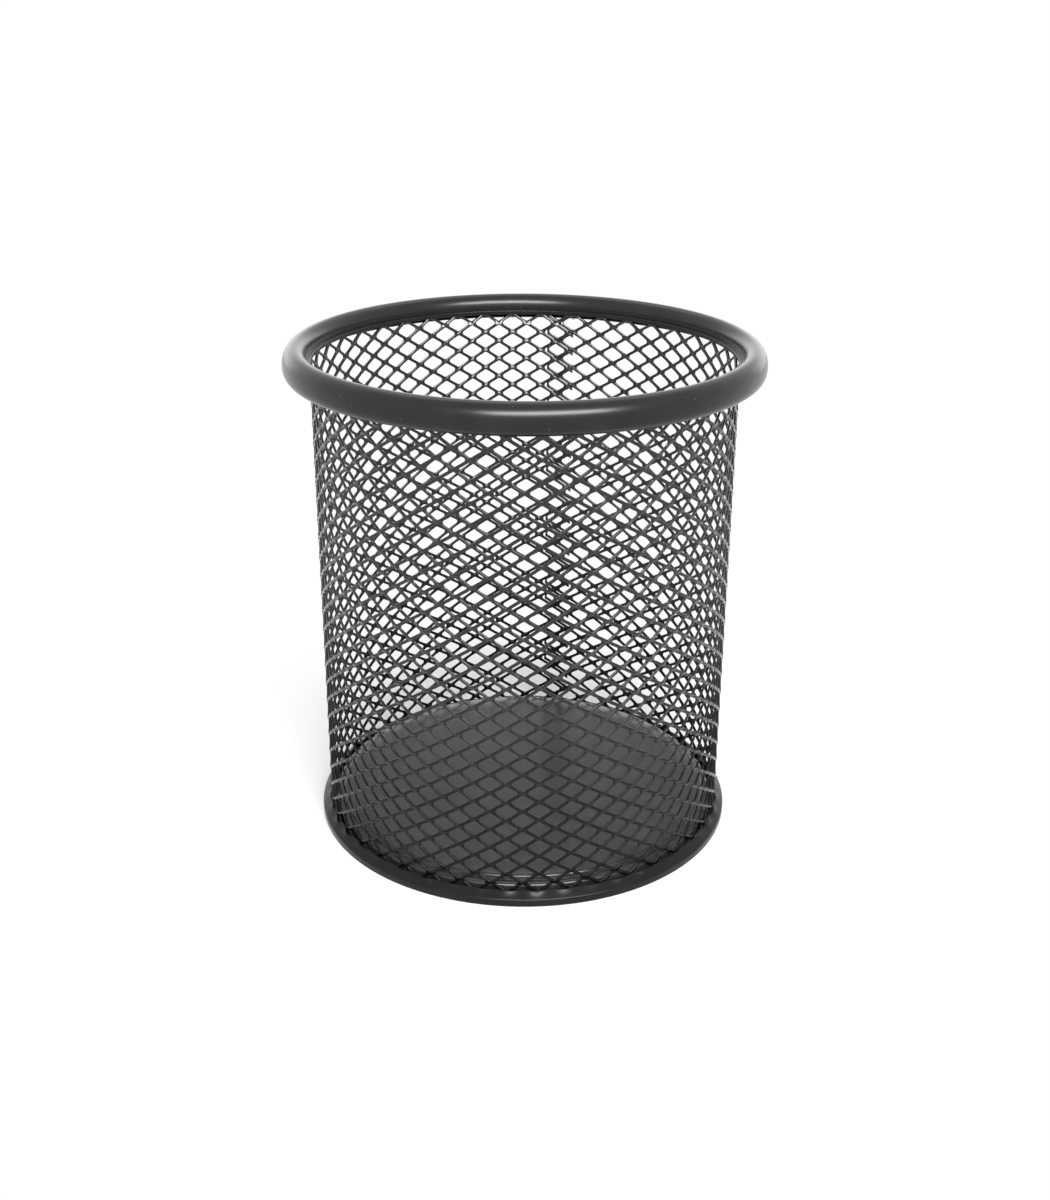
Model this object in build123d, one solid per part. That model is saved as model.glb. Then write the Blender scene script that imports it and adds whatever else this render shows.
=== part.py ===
"""Round desk cup of black expanded-metal mesh, open at the top.

Four steel pieces and their welds: the mesh sleeve, the rolled rim that grips its upper
edge, the raised floor pan and the hoop that closes the foot. Nothing on it moves.
Millimetres, +Z up, origin on the table under the middle of the cup, front towards -Y.
"""

from build123d import *
import math
import os

# Mesh sleeve
sleeve_radius = 41.35     # axis to the middle of the mesh wall
mesh_gauge = 0.35         # thickness of the sheet
diamond_length = 6.2      # one diamond along the wall, knuckle to knuckle
diamond_height = 3.95     # one diamond up the wall
knuckle_length = 1.6      # metal between two openings side by side
knuckle_height = 0.9      # metal between two openings one above the other
lap_diamonds = 1          # how far the two ends of the sheet overlap
lap_slip = 0.5            # sideways mismatch between the two leaves of the lap
leaf_gap = 0.05           # space between the two leaves of the lap
seam_angle = 167.6        # start of the inner leaf, in degrees from the front towards +X
fit_clearance = 0.035     # room beside the mesh wherever it is gripped

# Weld buttons down the middle of the lap
weld_diameter = 0.8
weld_height = 0.3
weld_clearance = 0.03     # from the bent knuckle to the flat back of a button

# Rolled rim
cup_height = 100.0        # table to the top of the rim
bead_width = 4.66         # rolled bead, across
bead_height = 5.9         # rolled bead, up and down
rim_gauge = 0.35          # thickness of the rolled strip
fold_drop = 2.0           # top of the rim down to the fold inside the mesh
fold_height = 1.2         # the fold, top to bottom
fold_rounding = 0.25      # outer rounding of the fold
mouth_height = 1.1        # gap through which the mesh edge enters the bead
mesh_headroom = 0.2       # space above the top edge of the mesh

# Floor pan
pan_gauge = 0.5           # thickness of the pressed disc
floor_height = 4.1        # table to the top of the floor
step_height = 1.0         # drop from the floor to the shoulder around it
shoulder_width = 1.9      # from the step out to the mesh
step_rounding = 0.6       # rounding of the floor's edge
shoulder_rounding = 0.5   # rounding between the shoulder and the skirt

# Foot hoop
hoop_width = 1.35         # hoop outside the mesh, at its widest
hoop_side = 1.4           # upright part of the hoop's outer face
hoop_slope = 1.4          # height of the sloping face above it
hoop_edge = 0.3           # width of the hoop's upper edge
hoop_rounding = 0.3       # roundings of the hoop's outer face
hem_gauge = 0.4           # hem under the mesh and the pan
hem_reach = 1.2           # hem, inwards from the pan's skirt

rounding_share = 0.9      # the most of a wall that a rounding may take up

# Layout of the mesh: upright bend lines, half a diamond apart, and half rows of diamonds
columns = round(2 * math.pi * sleeve_radius / diamond_length)
bend_step = (2 * math.pi - lap_slip / sleeve_radius) / (2 * columns)
lap_bends = 2 * lap_diamonds
last_bend = 2 * columns + lap_bends
leaf_shift = (mesh_gauge + leaf_gap) / 2
facet_sag = sleeve_radius * (1 - math.cos(bend_step / 2))

# The gap that grips the mesh, the same at the rim and at the foot
grip_inner = sleeve_radius - leaf_shift - mesh_gauge / 2 - facet_sag - fit_clearance
grip_outer = sleeve_radius + leaf_shift + mesh_gauge / 2 + fit_clearance

# Heights where the pieces meet
fold_top = cup_height - fold_drop
fold_roof = fold_top - rim_gauge
fold_bottom = fold_top - fold_height
mesh_bottom = hem_gauge + fit_clearance
mesh_top = fold_roof - mesh_headroom
half_rows = round(2 * (mesh_top - mesh_bottom) / diamond_height)
half_row = (mesh_top - mesh_bottom) / half_rows
skirt_inner = grip_inner - pan_gauge


def bend_point(bend):
    """Plan point of the sheet's middle at one of its upright bend lines."""
    angle = math.radians(seam_angle) + bend * bend_step
    radius = sleeve_radius
    if bend <= lap_bends:
        radius -= leaf_shift
    elif bend >= last_bend - lap_bends:
        radius += leaf_shift
    return Vector(radius * math.sin(angle), -radius * math.cos(angle))


def facet_vector(facet):
    """Plan vector along the flat facet that starts at a bend line."""
    return bend_point(facet + 1) - bend_point(facet)


def surface_point(bend, offset):
    """A bend point moved outwards by an offset, mitred between the facets on its two sides."""
    up = Vector(0, 0, 1)
    before = facet_vector(max(bend - 1, 0)).cross(up).normalized()
    after = facet_vector(min(bend, last_bend - 1)).cross(up).normalized()
    miter = before + after
    return bend_point(bend) + miter * (2 * offset / miter.dot(miter))


def half_openings(facet):
    """Outlines of the half diamonds that are cut into the two sides of a facet.

    A point is (side, distance from that side, height). The openings alternate between the
    sides from row to row, and the sheet's lower and upper edges cut the end ones in half.
    """
    tip = facet_vector(facet).length - knuckle_length / 2
    rise = half_row - knuckle_height / 2
    outlines = []
    for row in range(half_rows + 1):
        side = (facet + row) % 2
        middle = mesh_bottom + row * half_row
        outline = [(side, 0, middle - rise), (side, tip, middle), (side, 0, middle + rise)]
        if row == 0:
            outline = outline[1:]
        elif row == half_rows:
            outline = outline[:-1]
        outlines.append(outline)
    return outlines


def facet_side(outlines, side):
    """One side of a facet from bottom to top: bend line and openings in turn."""
    points = [point for outline in outlines for point in outline if point[0] == side]
    if points[0][2] > mesh_bottom:
        points.insert(0, (side, 0, mesh_bottom))
    if points[-1][2] < mesh_top:
        points.append((side, 0, mesh_top))
    return points


def facet_faces(facet):
    """All the flat faces of one facet of the mesh wall."""
    along = facet_vector(facet).normalized()
    inwards = (along, -along)
    outer, inner = mesh_gauge / 2, -mesh_gauge / 2
    corners = {(s, offset): surface_point(facet + s, offset) for s in (0, 1) for offset in (outer, inner)}

    def place(point, offset):
        side, distance, height = point
        corner = corners[side, offset]
        shift = inwards[side]
        return (corner.X + distance * shift.X, corner.Y + distance * shift.Y, height)

    def polygon(points):
        return Face(Wire.make_polygon(points, close=True))

    def edge_face(start, end):
        return polygon([place(start, outer), place(end, outer), place(end, inner), place(start, inner)])

    outlines = half_openings(facet)
    left = facet_side(outlines, 0)
    right = facet_side(outlines, 1)
    faces = [polygon([place(point, offset) for point in left + right[::-1]]) for offset in (outer, inner)]
    edges = [(left[0], right[0]), (left[-1], right[-1])]
    for outline in outlines:
        edges += zip(outline, outline[1:])
    for bend, side in ((0, left), (last_bend - 1, right)):
        if facet == bend:
            edges += [(a, b) for a, b in zip(side, side[1:]) if a[1] == b[1] == 0 and a[2] < b[2]]
    return faces + [edge_face(start, end) for start, end in edges]


def mesh_sleeve():
    """The expanded sheet, bent round facet by facet, with its two ends lapped at the back."""
    return Solid(Shell([face for facet in range(last_bend) for face in facet_faces(facet)]))


def seam_welds():
    """Weld buttons on the inside of the lap, one on each open knuckle of its middle line."""
    bend = lap_bends // 2
    place = bend_point(bend)
    seat_radius = place.length - mesh_gauge / 2 - weld_clearance
    seat = Rot(0, 0, math.degrees(math.atan2(place.Y, place.X))) * Pos(seat_radius, 0, 0) * Rot(0, -90, 0)
    dome_radius = (weld_diameter**2 / 4 + weld_height**2) / (2 * weld_height)
    dome = Pos(0, 0, weld_height - dome_radius) * Sphere(dome_radius)
    button = split(dome, Plane.XY, keep=Keep.TOP)
    welds = []
    for row in range(half_rows + 1):
        height = mesh_bottom + row * half_row
        knuckle = (bend + row) % 2 == 1
        if knuckle and floor_height + weld_diameter < height < fold_bottom - weld_diameter:
            welds.append(Pos(0, 0, height) * seat * button)
    return Compound(children=welds)


def outline(corners):
    """A closed flat outline through (radius, height, rounding) corners.

    A rounding is limited by the shorter of the two walls that meet at its corner.
    """
    points = [(radius, height) for radius, height, _ in corners]
    section = make_face(Polyline(points, close=True))
    for index, (_, _, rounding) in enumerate(corners):
        if rounding:
            before, point, after = points[index - 1], points[index], points[(index + 1) % len(points)]
            wall = min(math.dist(before, point), math.dist(point, after))
            corner = section.vertices().sort_by_distance(point)[0]
            section = fillet(corner, min(rounding, rounding_share * wall))
    return section


def box_outline(inner, bottom, outer, top):
    """A plain rectangle between two radii and two heights."""
    return outline([(inner, bottom, 0), (outer, bottom, 0), (outer, top, 0), (inner, top, 0)])


def turned(section):
    """A section, drawn as radius and height, turned about the axis of the cup."""
    return revolve(Plane.XZ * section, Axis.Z)


def top_rim():
    """A strip rolled into an open bead outside the mesh, with one edge folded down inside it."""
    bead_radius = grip_outer + bead_width / 2
    bead_place = Pos(bead_radius, cup_height - bead_height / 2)
    bead = bead_place * Ellipse(bead_width / 2, bead_height / 2)
    hollow = bead_place * Ellipse(bead_width / 2 - rim_gauge, bead_height / 2 - rim_gauge)
    fold_inner = grip_inner - rim_gauge
    fold = outline([
        (fold_inner, fold_bottom, 0),
        (grip_inner, fold_bottom, 0),
        (grip_inner, fold_roof, 0),
        (bead_radius, fold_roof, 0),
        (bead_radius, fold_top, 0),
        (fold_inner, fold_top, fold_rounding),
    ])
    mouth = box_outline(grip_inner, fold_roof - mouth_height, bead_radius, fold_roof)
    return turned(bead + fold - hollow - mouth)


def base_pan():
    """A pressed disc: raised floor, a step down to a shoulder, and a skirt inside the mesh."""
    shoulder = floor_height - step_height
    floor_radius = grip_inner - shoulder_width
    under_radius = floor_radius - pan_gauge
    return turned(outline([
        (0, floor_height, 0),
        (floor_radius, floor_height, step_rounding),
        (floor_radius, shoulder, 0),
        (grip_inner, shoulder, shoulder_rounding),
        (grip_inner, hem_gauge, 0),
        (skirt_inner, hem_gauge, 0),
        (skirt_inner, shoulder - pan_gauge, 0),
        (under_radius, shoulder - pan_gauge, step_rounding),
        (under_radius, floor_height - pan_gauge, 0),
        (0, floor_height - pan_gauge, 0),
    ]))


def base_hoop():
    """The hoop around the foot of the mesh, with a hem turned in under the mesh and the pan."""
    hoop_radius = grip_outer + hoop_width
    hoop_height = hoop_side + hoop_slope
    hem_radius = skirt_inner - hem_reach
    return turned(outline([
        (hem_radius, 0, 0),
        (hoop_radius, 0, hoop_rounding),
        (hoop_radius, hoop_side, hoop_rounding),
        (grip_outer + hoop_edge, hoop_height, hoop_rounding),
        (grip_outer, hoop_height, 0),
        (grip_outer, hem_gauge, 0),
        (hem_radius, hem_gauge, 0),
    ]))


pieces = {
    "mesh_sleeve": mesh_sleeve(),
    "seam_welds": seam_welds(),
    "top_rim": top_rim(),
    "base_pan": base_pan(),
    "base_hoop": base_hoop(),
}

os.makedirs("parts", exist_ok=True)
for name, piece in pieces.items():
    export_step(piece, f"parts/{name}.step", write_pcurves=False)
print(f"{columns} diamonds around, {half_rows} half rows, grip {grip_inner:.3f} to {grip_outer:.3f}")
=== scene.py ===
"""Black mesh pen cup: twisted expanded-metal strands, a rolled rim, a pressed floor and a foot hoop.

Metres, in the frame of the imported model: +Z up, the front of the cup towards -Y. Angles round the
cup are measured from the front towards +X.
"""

import math

import bmesh
import bpy
import numpy as np
from mathutils import Matrix, Vector, noise


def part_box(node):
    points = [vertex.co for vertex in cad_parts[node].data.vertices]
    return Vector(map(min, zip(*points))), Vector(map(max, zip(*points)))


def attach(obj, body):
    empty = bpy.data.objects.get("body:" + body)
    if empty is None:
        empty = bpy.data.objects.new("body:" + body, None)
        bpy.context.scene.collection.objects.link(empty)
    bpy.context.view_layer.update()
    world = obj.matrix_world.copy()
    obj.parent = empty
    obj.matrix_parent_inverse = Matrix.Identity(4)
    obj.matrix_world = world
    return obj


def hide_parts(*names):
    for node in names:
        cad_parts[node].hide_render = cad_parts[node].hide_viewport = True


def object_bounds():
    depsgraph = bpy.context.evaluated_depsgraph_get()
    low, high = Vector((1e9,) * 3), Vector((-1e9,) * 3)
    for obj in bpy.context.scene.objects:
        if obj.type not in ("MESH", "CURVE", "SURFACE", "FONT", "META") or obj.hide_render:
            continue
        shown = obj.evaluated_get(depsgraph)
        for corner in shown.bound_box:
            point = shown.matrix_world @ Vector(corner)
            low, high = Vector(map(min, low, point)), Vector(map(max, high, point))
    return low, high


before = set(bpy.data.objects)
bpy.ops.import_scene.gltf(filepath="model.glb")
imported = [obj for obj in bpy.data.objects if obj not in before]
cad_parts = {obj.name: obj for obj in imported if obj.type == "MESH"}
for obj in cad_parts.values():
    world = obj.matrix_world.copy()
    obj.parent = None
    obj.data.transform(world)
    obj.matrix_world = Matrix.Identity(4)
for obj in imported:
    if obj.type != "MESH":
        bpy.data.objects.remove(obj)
cad_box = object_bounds()

mm = 0.001

# Mesh sheet: a column is half a diamond along the wall, a row half a diamond up
wall_radius = 41.0 * mm          # axis to the middle of the raised sheet
column_angle = math.radians(4.328)
column_length = wall_radius * column_angle
row_height = 1.97 * mm
first_row_height = 21.85 * mm    # an opening in the middle of the front
spare_rows = 3                   # made beyond the cuts, because the rows climb
spare_columns = 1
strand_gauge = 0.44 * mm         # thickness of the sheet
strand_width = 0.60 * mm         # a strand, seen square to the wall
opening_rounding = 0.46 * mm     # rounded corners of the openings
edge_rounding = 0.17 * mm        # paint-rounded edges of the strands
edge_turns = (90, 45, 0, -45, -90)  # degrees, round such an edge from the outer face to the inner one
knuckle_tilt = math.radians(29)  # lean of the metal where four strands meet
strand_tilt_share = 0.60         # lean of the strands between, as a share of that
strand_twist = 0.15              # above 0 the lean gathers at the knuckles

# The sheet as it was rolled: its rows and columns wander a little round the cup
row_climb = 0.31 * mm            # for each radian
row_lean = 0.50 * mm             # up towards the right side
row_wave = 0.15 * mm             # twice round
row_back_rise = 0.30 * mm        # the back is higher by twice this
column_drift = math.radians(0.42)  # the back is turned by twice this

# The lap at the back: columns where the two ends of the sheet are cut, and how they lie
inner_cut = -45.31
outer_cut = 39.83
inner_slip = 0.34 * mm           # the inner end is slewed round the cup by this
inner_drop = 0.20 * mm           # and lies lower by this
slip_reach = 8.0                 # columns from the inner end to where it starts to slew
slip_columns = 4.0               # columns over which it slews
lap_lift = 0.45 * mm             # the outer leaf lies over the inner one
lift_reach = 5.0                 # columns from the outer end to where it starts to climb
lift_columns = 3.0               # columns over which it climbs

# Where the rim grips the sheet, it is pressed flatter and stands a little further out
grip_reach = 0.3 * mm            # length of the sheet inside the grip
grip_fade = 2.2 * mm             # length over which it changes
grip_shift = 0.45 * mm
grip_lean = 0.65                 # share of the lean that is left there

# Weld beads, in two lines down the lap
weld_radius = 0.52 * mm
weld_flatness = 0.55
weld_roughness = 0.12 * mm
weld_divisions = 2               # of the ball that a bead is made from
weld_row_seed = 7                # seeds from one row to the next
weld_noise_x = 3.7               # steps through the noise from one seed to the next
weld_noise_y = 1.3

# Rolled rim: a bead outside the mesh, a fold inside it
bead_width = 4.66 * mm
bead_tilt = math.radians(8)      # the top of the bead leans inwards
bead_start = math.radians(-68)   # where the roll ends underneath
bead_fullness = 0.8              # below 1 the roll is fuller than an oval, low on its outer side
bead_steps = 120
fold_inner = 41.00 * mm          # axis to the inside of the fold
fold_gauge = 0.35 * mm
fold_top = 96.85 * mm
fold_bottom = 96.0 * mm
fold_slant = 0.15 * mm           # its lower edge stands back by this
crease_rounding = 0.12 * mm

# Floor pan
floor_height = 4.6 * mm
crown_radius = 34.0 * mm         # the floor dips from here to its edge
crown_drop = 0.45 * mm
floor_radius = 38.6 * mm
floor_rounding = 0.8 * mm
step_draft = 0.1 * mm            # the step below the floor leans out by this
step_rounding = 0.15 * mm
shoulder_height = 3.2 * mm
shoulder_radius = 40.15 * mm
shoulder_rounding = 0.8 * mm
pan_gauge = 0.5 * mm
skirt_bottom = 0.4 * mm

# Foot hoop
hoop_edge_radius = 41.4 * mm     # where its upper edge hugs the mesh
hoop_edge_height = 2.72 * mm
hoop_edge_bevel = 0.15 * mm      # the edge is lower on its inner side by this
hoop_side_height = 1.46 * mm
hoop_rounding = 0.5 * mm
hoop_foot_rounding = 0.25 * mm
hem_gauge = 0.4 * mm
hem_inner = 39.2 * mm
ledge_steps = 6                  # steps up the slope from the side to the upper edge
ledge_start = 2                  # the rounding takes the place of the steps before this one
crimp_count = 46                 # marks of the crimping tool round the hoop
crimp_start = math.radians(3.8)
crimp_depth = 0.42 * mm
crimp_sharpness = 1.2            # above 1 the marks are narrower than the gaps between them
crimp_scatter = 0.45             # how unlike each other the marks are
crimp_spacing_waves = 5          # times round that their spacing changes
crimp_depth_waves = 11           # times round that their depth changes
crimp_depth_phase = 1.0          # radians

# How the pieces are made
sharp = 0                        # a corner without rounding
cut_edge_rounding = 0.1 * mm     # bare edges of the rim and the hoop
turn_steps = 360                 # facets round a turned piece
arc_steps = 7                    # facets of a small rounding
sharp_angle = math.radians(40)   # facets that meet at more than this keep their edge
joining_distance = 0.002 * mm    # points nearer than this are one point
cut_tolerance = 1e-9             # points nearer than this to a cut lie on it

# Paint of each slot, with its roughness by the foot and higher up
finishes = {
    "mesh_black": dict(
        colour=(0.003, 0.003, 0.003), gloss=0.18, grain=0.03, roughness=(0.20, 0.16), lacquer=0.80),
    "rim_black": dict(
        colour=(0.005, 0.0048, 0.005), gloss=0.22, grain=0.008, roughness=(0.31, 0.26), lacquer=0.40),
    "base_black": dict(
        colour=(0.025, 0.024, 0.025), gloss=0.50, grain=0.03, roughness=(0.24, 0.24), lacquer=0),
}
dull_below = 20 * mm             # the paint of the foot reaches up to here
glossy_above = 50 * mm           # and has changed to that of the upper part here
gloss_tint = (1.0, 0.96, 1.0, 1.0)
mottle_scale = 180               # scales are in features for each metre
mottle_detail = 4
mottle_span = (0.35, 0.65)       # noise levels of the darkest and the lightest patches
mottle_shade = (0.75, 1.35)      # those patches, as shares of the colour
dust_scale = 420
dust_fade = (0.03, 0.06)         # a speck ends between these shares of its spacing
dust_colour = (0.06, 0.06, 0.06)
sheen_scale = 60
sheen_detail = 3
sheen_span = (0.85, 1.15)        # shares of the roughness
peel_scale = 1600
peel_detail = 2
peel_height = 0.05 * mm

# Studio
floor_reach = 3.0                # axis to the edges of the floor
floor_gap = 0.05 * mm            # the floor lies this far below the foot
floor_colour = (0.93, 0.93, 0.93)
floor_roughness = 0.9
floor_gloss = 0.1
shadow_reach = 0.05              # the floor is plain within this distance of the axis
white_from = 0.10                # and pure white beyond this one
room_light = 0.60                # light from the white surroundings
room_white = 1.0                 # level at which they are seen

# Lamps: direction from the cup in degrees, distance and size in metres, power in watts
lamps = {
    "key": dict(azimuth=12, elevation=40, distance=0.9, width=0.8, height=0.24, power=12.0),
    "back": dict(azimuth=180, elevation=9, distance=1.0, width=1.8, height=0.4, power=1.95),
    "sky": dict(azimuth=180, elevation=58, distance=0.9, width=0.7, height=0.35, power=1.0,
                colour=(0.52, 0.64, 0.86), lights_matt=False),
}

# Camera, fitted to the photo
photo_width = 1050               # pixels
focal_length = 1493.9            # pixels
sensor_width = 36.0              # millimetres, as Blender counts them
camera_place = Vector((0.22, -283.62, 166.39)) * mm
camera_dip = math.radians(23.054)
camera_roll = math.radians(0.249)
nearest_view = 0.01


def climb(angle):
    """How far the rows have risen at an angle round the cup."""
    steady = row_climb * angle + row_lean * np.sin(angle)
    return steady + row_wave * np.sin(2 * angle) + row_back_rise * (1 - np.cos(angle))


def sheet_angle(column):
    """Angle round the cup of a column of the sheet."""
    angle = column * column_angle
    return angle + column_drift * (1 - np.cos(angle))


def rows_between(bottom, top):
    """Every row of the sheet that may lie between two heights."""
    first = math.floor((bottom - first_row_height) / row_height) - spare_rows
    last = math.ceil((top - first_row_height) / row_height) + spare_rows
    return range(first, last)


def smooth(value):
    """Eases from 0 to 1."""
    value = np.clip(value, 0, 1)
    return value * value * (3 - 2 * value)


def gripped(height, top):
    """1 where the rim grips the sheet, 0 on the open wall."""
    return 1 - smooth((top - height - grip_reach) / grip_fade)


def mesh_object(name, vertices, faces):
    """A new mesh object in the scene."""
    mesh = bpy.data.meshes.new(name)
    mesh.from_pydata(vertices, [], faces)
    piece = bpy.data.objects.new(name, mesh)
    bpy.context.scene.collection.objects.link(piece)
    return piece


def opening_stations():
    """Points round one opening, each with the point on the middle of a strand that it faces.

    The opening is a diamond with rounded corners. Each quarter runs from its right or left corner
    to its top or bottom one: an arc, a straight side and another arc.
    """
    slope = math.atan2(row_height, column_length)
    side = column_length * math.sin(slope) - strand_width / 2
    reach = side / math.sin(slope) - opening_rounding / math.sin(slope)
    rise = side / math.cos(slope) - opening_rounding / math.cos(slope)
    turn = math.pi / 2 - slope
    strand_length = math.hypot(column_length, row_height)

    def facing(point):
        """How far up its strand a point lies, as a share of the strand."""
        along = (column_length - point[0]) * math.cos(slope) + point[1] * math.sin(slope)
        return along / strand_length

    def on_arc(centre, angle):
        x = centre[0] + opening_rounding * math.cos(angle)
        y = centre[1] + opening_rounding * math.sin(angle)
        return x, y

    def mirrored(point, sign_x, sign_y):
        return sign_x * point[0], sign_y * point[1]

    side_arc = [on_arc((reach, 0), turn * share) for share in (0, 0.5, 1)]
    top_arc = [on_arc((0, rise), turn + slope * share) for share in (0, 0.5, 1)]
    middle = tuple((a + b) / 2 for a, b in zip(side_arc[-1], top_arc[0]))
    share_side, share_top = facing(side_arc[-1]), facing(top_arc[0])
    shares = [0, share_side / 2, share_side, facing(middle), share_top, (1 + share_top) / 2, 1]
    # The same from both ends of the strand, so that the openings on its two sides share their points
    shares = [(share + 1 - opposite) / 2 for share, opposite in zip(shares, shares[::-1])]
    strand_points = [(column_length * (1 - share), row_height * share) for share in shares]
    quarter = list(zip(side_arc + [middle] + top_arc, strand_points))
    stations = []
    for sign_x, sign_y, order in ((1, 1, 1), (-1, 1, -1), (-1, -1, 1), (1, -1, -1)):
        turned = [tuple(mirrored(point, sign_x, sign_y) for point in pair) for pair in quarter]
        stations += turned[::order][:-1]
    return stations


def cell_template():
    """One opening and the half strands round it: points (along, up, depth) and four-sided faces."""
    depth = strand_gauge / 2
    points = []
    for edge, middle in opening_stations():
        edge, middle = Vector(edge), Vector(middle)
        inwards = (middle - edge).normalized()
        points.append((*middle, depth))
        for degrees in edge_turns:
            turn = math.radians(degrees)
            place = edge + inwards * edge_rounding * (1 - math.cos(turn))
            points.append((*place, depth * math.sin(turn)))
        points.append((*middle, -depth))
    layers = len(edge_turns) + 2
    stations = len(points) // layers
    faces = []
    for station in range(stations):
        here, there = station * layers, (station + 1) % stations * layers
        for layer in range(layers - 1):
            faces.append((here + layer, there + layer, there + layer + 1, here + layer + 1))
    return np.array(points), np.array(faces)


def raised(along, up):
    """Lean of an expanded sheet: how far it stands out, and its slopes along and up the wall."""
    turn_along = math.pi * along / column_length
    turn_up = math.pi * up / row_height
    reach = row_height / math.pi * math.tan(knuckle_tilt)
    share = strand_tilt_share / 4
    ridge = (np.cos(turn_along) + strand_twist * np.cos(3 * turn_along)) / (1 + strand_twist)
    ridge_slope = (np.sin(turn_along) + strand_twist * 3 * np.sin(3 * turn_along)) / (1 + strand_twist)
    strand = 1 - np.cos(2 * turn_along)
    strand_slope = 2 * np.sin(2 * turn_along)
    out = reach * (-np.sin(turn_up) * ridge - share * np.sin(2 * turn_up) * strand)
    slope_along = reach * (np.sin(turn_up) * ridge_slope - share * np.sin(2 * turn_up) * strand_slope)
    slope_up = reach * (-np.cos(turn_up) * ridge - share * 2 * np.cos(2 * turn_up) * strand)
    return out, slope_along * math.pi / column_length, slope_up * math.pi / row_height


def flat_sheet(bottom, top):
    """The raised sheet before it is rolled: x along the wall, y up, z outwards."""
    points, faces = cell_template()
    columns = range(math.floor(inner_cut) - spare_columns, math.ceil(outer_cut) + spare_columns + 1)
    cells = [(column, row) for column in columns for row in rows_between(bottom, top)]
    centres = np.array([(c * column_length, r * row_height) for c, r in cells if (c + r) % 2 == 0])
    along = (centres[:, None, 0] + points[None, :, 0]).ravel()
    up = (centres[:, None, 1] + points[None, :, 1]).ravel()
    depth = np.tile(points[:, 2], len(centres))
    height = first_row_height + up + climb(sheet_angle(along / column_length))
    lean = 1 - (1 - grip_lean) * gripped(height, top)
    out, slope_along, slope_up = raised(along, up)
    slope_along, slope_up = slope_along * lean, slope_up * lean
    length = np.sqrt(1 + slope_along**2 + slope_up**2)
    vertices = np.stack([
        along - depth * slope_along / length,
        height - depth * slope_up / length,
        out * lean + depth / length,
    ], -1)
    every_face = (np.arange(len(centres))[:, None, None] * len(points) + faces[None]).reshape(-1, 4)
    return vertices, every_face


def trim(bm, point, normal):
    """Cuts the sheet off square beyond a plane and closes the cut ends."""
    cut = bmesh.ops.bisect_plane(
        bm, geom=bm.verts[:] + bm.edges[:] + bm.faces[:], dist=cut_tolerance,
        plane_co=point, plane_no=normal, clear_outer=True)
    edges = [e for e in cut["geom_cut"] if isinstance(e, bmesh.types.BMEdge) and e.is_boundary]
    bmesh.ops.holes_fill(bm, edges=edges, sides=0)


def drop_scraps(bm):
    """Keeps the sheet and drops the loose ends that the cuts leave beside it."""
    left, sheet = set(bm.verts), []
    while left:
        part = [left.pop()]
        for vertex in part:
            joined = [edge.other_vert(vertex) for edge in vertex.link_edges]
            fresh = [other for other in joined if other in left]
            left.difference_update(fresh)
            part += fresh
        sheet = max(sheet, part, key=len)
    kept = set(sheet)
    bmesh.ops.delete(bm, geom=[vertex for vertex in bm.verts if vertex not in kept], context="VERTS")


def roll(flat, top):
    """Rolls points of the flat sheet round the cup, the outer end over the inner one."""
    along, height, out = flat.T
    column = along / column_length
    lift = lap_lift * smooth((column - outer_cut + lift_reach) / lift_columns)
    radius = wall_radius + out + lift + grip_shift * gripped(height, top)
    slew = smooth((inner_cut + slip_reach - column) / slip_columns)
    angle = sheet_angle(column) + slew * inner_slip / wall_radius
    return np.stack([radius * np.sin(angle), -radius * np.cos(angle), height - slew * inner_drop], -1)


def mesh_wall():
    """The expanded sheet, rolled and lapped, between the foot and the rim."""
    low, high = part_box("mesh_sleeve")
    bottom, top = low.z, min(high.z, fold_top - fold_gauge)
    vertices, faces = flat_sheet(bottom, top)
    piece = mesh_object("expanded_sheet", vertices.tolist(), faces.tolist())
    bm = bmesh.new()
    bm.from_mesh(piece.data)
    bmesh.ops.remove_doubles(bm, verts=bm.verts, dist=joining_distance)
    trim(bm, (0, bottom, 0), (0, -1, 0))
    trim(bm, (0, top, 0), (0, 1, 0))
    trim(bm, (inner_cut * column_length, 0, 0), (-1, 0, 0))
    trim(bm, (outer_cut * column_length, 0, 0), (1, 0, 0))
    drop_scraps(bm)
    bm.to_mesh(piece.data)
    bm.free()
    flat = np.empty(len(piece.data.vertices) * 3)
    piece.data.vertices.foreach_get("co", flat)
    rolled = roll(flat.reshape(-1, 3), top)
    piece.data.vertices.foreach_set("co", rolled.ravel())
    piece.data.shade_smooth()
    piece.data.update()
    return piece


def weld_bead(place, outwards, seed):
    """Points and faces of one lumpy, flattened bead."""
    bm = bmesh.new()
    bmesh.ops.create_icosphere(bm, subdivisions=weld_divisions, radius=weld_radius)
    turn = outwards.to_track_quat("Z", "Y").to_matrix()
    shift = Vector((seed * weld_noise_x, seed * weld_noise_y, 0))
    for vertex in bm.verts:
        lump = noise.noise(vertex.co / weld_radius + shift)
        vertex.co += vertex.normal * lump * weld_roughness
        vertex.co.z *= weld_flatness
        vertex.co = turn @ vertex.co + place
    bm.verts.index_update()
    points = [tuple(vertex.co) for vertex in bm.verts]
    faces = [tuple(vertex.index for vertex in face.verts) for face in bm.faces]
    bm.free()
    return points, faces


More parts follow.
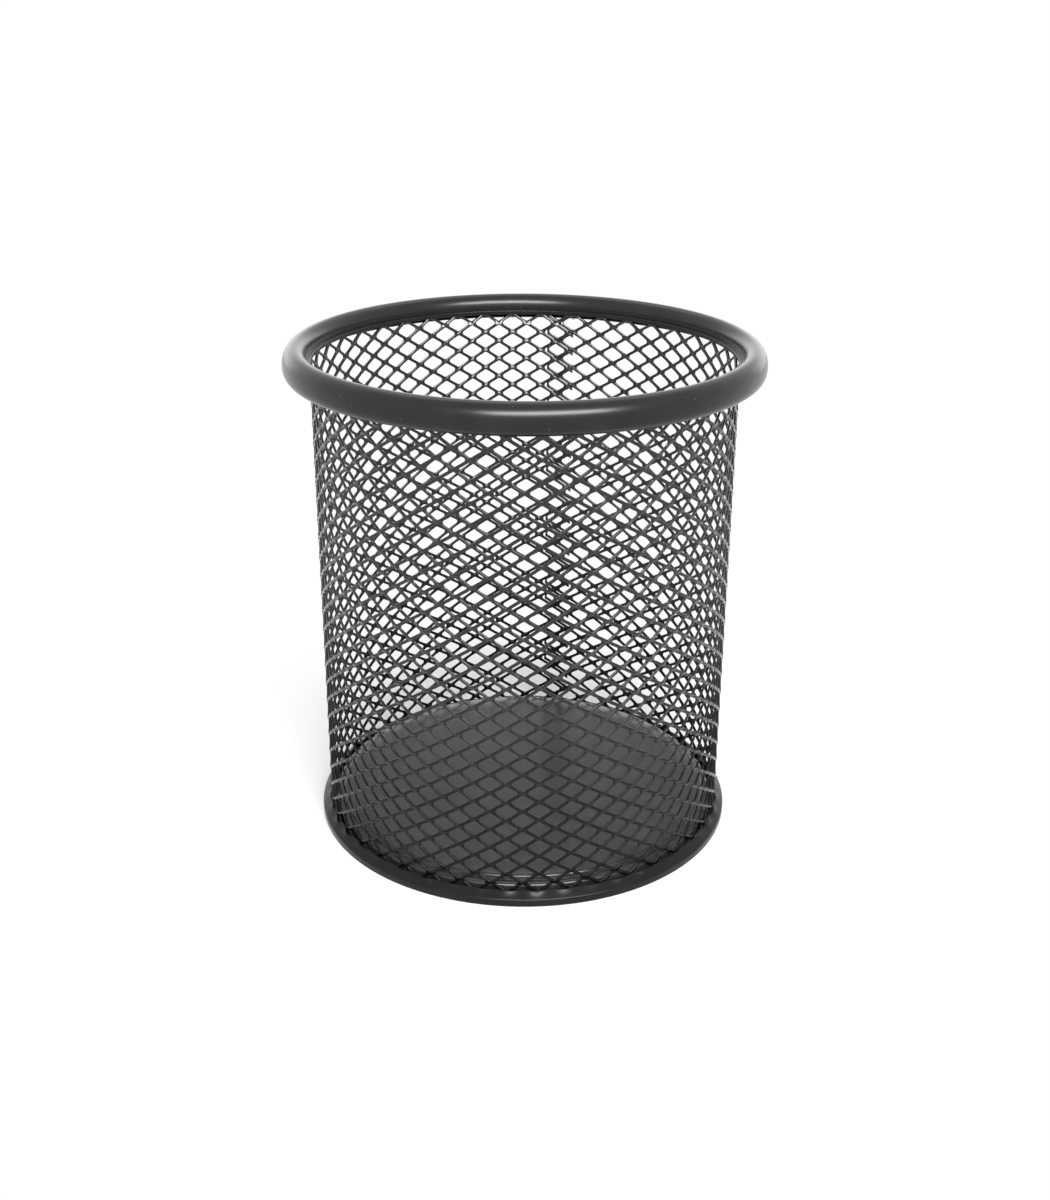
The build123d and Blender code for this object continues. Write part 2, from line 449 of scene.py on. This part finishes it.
def seam_beads():
    """Beads on the knuckles near both edges of the lap, between the foot and the rim."""
    low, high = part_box("seam_welds")
    vertices, faces = [], []
    for column, lift in ((round(inner_cut), 0.0), (math.floor(outer_cut), lap_lift / 2)):
        angle = float(sheet_angle(column))
        outwards = Vector((math.sin(angle), -math.cos(angle), 0))
        for row in rows_between(low.z, high.z):
            height = first_row_height + row * row_height + float(climb(angle))
            if (column + row) % 2 and low.z < height < high.z:
                place = outwards * (wall_radius + lift) + Vector((0, 0, height))
                points, sides = weld_bead(place, outwards, column + row * weld_row_seed)
                faces += [tuple(index + len(vertices) for index in side) for side in sides]
                vertices += points
    piece = mesh_object("seam_beads", vertices, faces)
    piece.data.shade_smooth()
    return piece


def rounded(corners):
    """A closed outline through (radius, height, rounding) corners, with arcs at the rounded ones."""
    points = []
    for index, (radius, height, rounding) in enumerate(corners):
        corner = Vector((radius, height))
        if not rounding:
            points.append(corner)
            continue
        before = (Vector(corners[index - 1][:2]) - corner).normalized()
        after = (Vector(corners[(index + 1) % len(corners)][:2]) - corner).normalized()
        half = before.angle(after) / 2
        centre = corner + (before + after).normalized() * rounding / math.sin(half)
        start = corner + before * rounding / math.tan(half) - centre
        swing = start.angle_signed(corner + after * rounding / math.tan(half) - centre)
        for step in range(arc_steps + 1):
            turned = start.copy()
            turned.rotate(Matrix.Rotation(-swing * step / arc_steps, 2))
            points.append(centre + turned)
    return points


def lathe(name, outline, bulge=None):
    """A closed outline of (radius, height) points, turned about the axis of the cup."""
    angles = np.arange(turn_steps) * 2 * math.pi / turn_steps
    radius = np.tile([point[0] for point in outline], (turn_steps, 1))
    height = np.tile([point[1] for point in outline], (turn_steps, 1))
    if bulge:
        radius = radius + bulge(angles[:, None], radius, height)
    x = radius * np.sin(angles)[:, None]
    y = -radius * np.cos(angles)[:, None]
    vertices = np.stack([x, y, height], -1).reshape(-1, 3)
    count = len(outline)
    faces = []
    for turn in range(turn_steps):
        here, there = turn * count, (turn + 1) % turn_steps * count
        for point in range(count):
            after = (point + 1) % count
            faces.append((here + point, there + point, there + after, here + after))
    piece = mesh_object(name, vertices.tolist(), faces)
    bm = bmesh.new()
    bm.from_mesh(piece.data)
    bmesh.ops.remove_doubles(bm, verts=bm.verts, dist=joining_distance)
    bare_edges = [edge for edge in bm.edges if not edge.link_faces]
    bmesh.ops.delete(bm, geom=bare_edges, context="EDGES")
    bmesh.ops.recalc_face_normals(bm, faces=bm.faces)
    bm.to_mesh(piece.data)
    bm.free()
    piece.data.shade_smooth()
    piece.data.set_sharp_from_angle(angle=sharp_angle)
    return piece


def rolled_rim():
    """The sheet of the rim: a fold inside the mesh, then an open roll over the top and down outside."""
    low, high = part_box("top_rim")
    half_width, half_height = bead_width / 2, (high.z - low.z) / 2
    turns = [bead_start + (math.pi - bead_start) * step / bead_steps for step in range(bead_steps + 1)]

    def oval(inset):
        """The bead about its own middle, from the end of the roll over the top to the inside."""
        path = []
        for turn in turns:
            across, up = math.cos(turn), math.sin(turn)
            if turn < 0:
                across, up = across ** bead_fullness, -abs(up) ** bead_fullness
            point = Vector(((half_width - inset) * across, (half_height - inset) * up))
            point.rotate(Matrix.Rotation(bead_tilt, 2))
            path.append(point)
        return path

    def above(path, level):
        """The path in its place, without its inner side below a level."""
        return [centre + point for point in path if point.x > 0 or centre.y + point.y > level]

    centre = Vector((high.x - max(point.x for point in oval(0)), (high.z + low.z) / 2))
    outside = above(oval(0), fold_top)
    inside = above(oval(fold_gauge), fold_top - fold_gauge)
    end = (outside[0] + inside[0]) / 2 + (outside[0] - outside[1]).normalized() * fold_gauge / 2
    fold = rounded([
        (outside[-1].x, fold_top, sharp),
        (fold_inner, fold_top, crease_rounding),
        (fold_inner + fold_slant, fold_bottom, cut_edge_rounding),
        (fold_inner + fold_slant + fold_gauge, fold_bottom, cut_edge_rounding),
        (fold_inner + fold_gauge, fold_top - fold_gauge, sharp),
        (inside[-1].x, fold_top - fold_gauge, sharp),
    ])
    return lathe("rolled_rim", [end] + outside + fold + inside[::-1])


def floor_pan():
    """The pressed floor: raised middle, a step down to a shoulder, and a skirt inside the mesh."""
    crown = []
    for step in range(arc_steps):
        share = step / arc_steps
        radius = crown_radius + (floor_radius - crown_radius) * share
        crown.append((radius, floor_height - crown_drop * share**2, sharp))
    under = floor_radius - pan_gauge
    inside = shoulder_radius - pan_gauge
    outline = rounded([
        (0.0, floor_height, sharp),
        *crown,
        (floor_radius, floor_height - crown_drop, floor_rounding),
        (floor_radius + step_draft, shoulder_height, step_rounding),
        (shoulder_radius, shoulder_height, shoulder_rounding),
        (shoulder_radius, skirt_bottom, sharp),
        (inside, skirt_bottom, sharp),
        (inside, shoulder_height - pan_gauge, sharp),
        (under, shoulder_height - pan_gauge, sharp),
        (under, floor_height - crown_drop - pan_gauge, sharp),
        (0.0, floor_height - crown_drop - pan_gauge, sharp),
    ])
    return lathe("floor_pan", outline)


def crimp(angle, radius, height):
    """How far the marks of the crimping tool push out the upper edge of the hoop."""
    turns = crimp_count * (angle - crimp_start) + crimp_scatter * np.sin(crimp_spacing_waves * angle)
    mark = (0.5 + 0.5 * np.cos(turns)) ** crimp_sharpness
    strength = 1 + crimp_scatter * np.sin(crimp_depth_waves * angle + crimp_depth_phase)
    upper = np.clip((height - hoop_side_height) / (hoop_edge_height - hoop_side_height), 0, 1)
    outer_side = radius > hoop_edge_radius - hem_gauge / 2
    return crimp_depth * mark * strength * upper**2 * outer_side


def foot_hoop():
    """The hoop, its upper edge crimped on the foot of the mesh and its hem turned in below."""
    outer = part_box("base_hoop")[1].x
    inner = hoop_edge_radius - hem_gauge
    ledge = []
    for step in range(ledge_start, ledge_steps):
        share = step / ledge_steps
        radius = outer + (hoop_edge_radius - outer) * share
        ledge.append((radius, hoop_side_height + (hoop_edge_height - hoop_side_height) * share, sharp))
    outline = rounded([
        (hem_inner, 0.0, cut_edge_rounding),
        (outer, 0.0, hoop_foot_rounding),
        (outer, hoop_side_height, hoop_rounding),
        *ledge,
        (hoop_edge_radius, hoop_edge_height, cut_edge_rounding),
        (inner, hoop_edge_height - hoop_edge_bevel, sharp),
        (inner, hem_gauge, sharp),
        (hem_inner, hem_gauge, sharp),
    ])
    return lathe("foot_hoop", outline, crimp)


def fill(tree, node, inputs):
    """Sets each input of a node to a value, or joins it to another node's output."""
    for key, value in inputs.items():
        if isinstance(value, bpy.types.NodeSocket):
            tree.links.new(value, node.inputs[key])
        else:
            node.inputs[key].default_value = value


def add(tree, kind, inputs, operation=None):
    """A new shader node."""
    node = tree.nodes.new("ShaderNode" + kind)
    if operation:
        node.operation = operation
    fill(tree, node, inputs)
    return node


def two_tone(tree, amount, places, colours):
    """Fades from one colour to another between two places."""
    node = add(tree, "ValToRGB", {"Fac": amount})
    for stop, place, colour in zip(node.color_ramp.elements, places, colours):
        stop.position = place
        stop.color = (*colour, 1)
    return node.outputs["Color"]


def by_height(tree, height, values):
    """Changes from one value by the foot to another higher up."""
    by_foot, higher_up = values
    change = add(tree, "MapRange", {
        "Value": height,
        "From Min": dull_below,
        "From Max": glossy_above,
        "To Min": by_foot,
        "To Max": higher_up,
    })
    return change.outputs["Result"]


def dusty_colour(tree, place, colour):
    """Faint mottling, with a few specks of dust."""
    mottle = add(tree, "TexNoise", {"Vector": place, "Scale": mottle_scale, "Detail": mottle_detail})
    shades = [tuple(shade * part for part in colour) for shade in mottle_shade]
    body = two_tone(tree, mottle.outputs["Fac"], mottle_span, shades)
    dust = add(tree, "TexVoronoi", {"Vector": place, "Scale": dust_scale})
    speck = two_tone(tree, dust.outputs["Distance"], dust_fade, ((1, 1, 1), (0, 0, 0)))
    dusty = add(tree, "MixRGB", {"Fac": speck, "Color1": body, "Color2": (*dust_colour, 1)})
    return dusty.outputs["Color"]


def uneven(tree, place, roughness):
    """A roughness that differs a little from place to place."""
    sheen = add(tree, "TexNoise", {"Vector": place, "Scale": sheen_scale, "Detail": sheen_detail})
    least, most = sheen_span
    share = add(tree, "MapRange", {"Value": sheen.outputs["Fac"], "To Min": least, "To Max": most})
    product = add(tree, "Math", {0: roughness, 1: share.outputs["Result"]}, "MULTIPLY")
    return product.outputs["Value"]


def orange_peel(tree, place, grain):
    """The fine waves of sprayed paint."""
    peel = add(tree, "TexNoise", {"Vector": place, "Scale": peel_scale, "Detail": peel_detail})
    waves = peel.outputs["Fac"]
    bump = add(tree, "Bump", {"Height": waves, "Strength": grain, "Distance": peel_height})
    return bump.outputs["Normal"]


def paint(name, colour, gloss, grain, roughness, lacquer):
    """Black stoved paint, with a film of lacquer that starts above the foot."""
    material = bpy.data.materials.new(name)
    material.use_nodes = True
    tree = material.node_tree
    shader = tree.nodes["Principled BSDF"]
    place = add(tree, "TexCoord", {}).outputs["Object"]
    height = add(tree, "SeparateXYZ", {"Vector": place}).outputs["Z"]
    fill(tree, shader, {
        "Base Color": dusty_colour(tree, place, colour),
        "Roughness": uneven(tree, place, by_height(tree, height, roughness)),
        "Normal": orange_peel(tree, place, grain),
        "Specular IOR Level": gloss,
        "Specular Tint": gloss_tint,
    })
    if lacquer:
        film = by_height(tree, height, (0, lacquer))
        fill(tree, shader, {"Coat Weight": film, "Coat Roughness": roughness[1]})
    return material


def dress(piece, material):
    """Gives a piece one material all over."""
    piece.data.materials.clear()
    piece.data.materials.append(material)


def seen_directly(tree):
    """1 for camera, glossy and transmission rays, 0 for the rays that carry light."""
    path = add(tree, "LightPath", {})
    total = path.outputs["Is Camera Ray"]
    for kind in ("Is Glossy Ray", "Is Transmission Ray"):
        total = add(tree, "Math", {0: total, 1: path.outputs[kind]}, "MAXIMUM").outputs["Value"]
    return total


def floor_white():
    """White floor that takes the shadow of the cup and melts into the white room further off."""
    material = bpy.data.materials.new("floor_white")
    material.use_nodes = True
    tree = material.node_tree
    matt = tree.nodes["Principled BSDF"]
    fill(tree, matt, {
        "Base Color": (*floor_colour, 1),
        "Roughness": floor_roughness,
        "Specular IOR Level": floor_gloss,
    })
    place = add(tree, "TexCoord", {}).outputs["Object"]
    distance = add(tree, "VectorMath", {0: place}, "LENGTH").outputs["Value"]
    fade = add(tree, "MapRange", {"Value": distance, "From Min": shadow_reach, "From Max": white_from})
    fade.interpolation_type = "SMOOTHSTEP"
    share = add(tree, "Math", {0: fade.outputs["Result"], 1: seen_directly(tree)}, "MULTIPLY")
    white = add(tree, "Emission", {})
    mix = add(tree, "MixShader", {
        "Fac": share.outputs["Value"],
        1: matt.outputs["BSDF"],
        2: white.outputs["Emission"],
    })
    fill(tree, tree.nodes["Material Output"], {"Surface": mix.outputs["Shader"]})
    return material


def white_floor():
    """A plain floor just under the foot."""
    near, far = -floor_reach, floor_reach
    corners = [(near, near, 0), (far, near, 0), (far, far, 0), (near, far, 0)]
    floor = mesh_object("floor", corners, [(0, 1, 2, 3)])
    floor.location.z = -floor_gap
    dress(floor, floor_white())


def white_room():
    """White surroundings, which light the cup at a lower level than they are seen at."""
    world = bpy.data.worlds.new("white_room")
    bpy.context.scene.world = world
    world.use_nodes = True
    tree = world.node_tree
    seen = seen_directly(tree)
    level = add(tree, "MapRange", {"Value": seen, "To Min": room_light, "To Max": room_white})
    white = (1, 1, 1, 1)
    fill(tree, tree.nodes["Background"], {"Color": white, "Strength": level.outputs["Result"]})


def softbox(name, azimuth, elevation, distance, width, height, power, colour=(1, 1, 1), lights_matt=True):
    """A rectangular lamp that faces the middle of the cup."""
    lamp = bpy.data.lights.new(name, "AREA")
    lamp.shape = "RECTANGLE"
    lamp.size = width
    lamp.size_y = height
    lamp.energy = power
    lamp.color = colour
    box = bpy.data.objects.new(name, lamp)
    bpy.context.scene.collection.objects.link(box)
    around, up = math.radians(azimuth), math.radians(elevation)
    level = math.cos(up)
    towards = Vector((math.sin(around) * level, -math.cos(around) * level, math.sin(up)))
    low, high = cad_box
    middle = (Vector(low) + Vector(high)) / 2
    box.location = middle + towards * distance
    box.rotation_euler = towards.to_track_quat("Z", "Y").to_euler()
    box.visible_diffuse = lights_matt


def photo_camera():
    """The camera, where the photo was taken from."""
    camera = bpy.data.cameras.new("camera")
    camera.sensor_fit = "HORIZONTAL"
    camera.sensor_width = sensor_width
    camera.lens = focal_length * sensor_width / photo_width
    camera.clip_start = nearest_view
    view = bpy.data.objects.new("camera", camera)
    bpy.context.scene.collection.objects.link(view)
    dip = Matrix.Rotation(math.pi / 2 - camera_dip, 4, "X")
    turn = Matrix.Rotation(camera_roll, 4, "Z")
    view.matrix_world = Matrix.Translation(camera_place) @ dip @ turn
    bpy.context.scene.camera = view


def studio():
    """White floor, white surroundings, three lamps and the camera."""
    bpy.context.scene.view_settings.view_transform = "Standard"
    white_floor()
    white_room()
    for name, lamp in lamps.items():
        softbox(name, **lamp)
    photo_camera()


# Each piece, the node that it stands for and the slot of its paint
pieces = (
    (mesh_wall, "mesh_sleeve", "mesh_black"),
    (seam_beads, "seam_welds", "mesh_black"),
    (rolled_rim, "top_rim", "rim_black"),
    (foot_hoop, "base_hoop", "rim_black"),
    (floor_pan, "base_pan", "base_black"),
)
paints = {slot: paint(slot, **finish) for slot, finish in finishes.items()}
for build, node, slot in pieces:
    piece = build()
    dress(piece, paints[slot])
    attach(piece, "root")
    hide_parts(node)

studio()
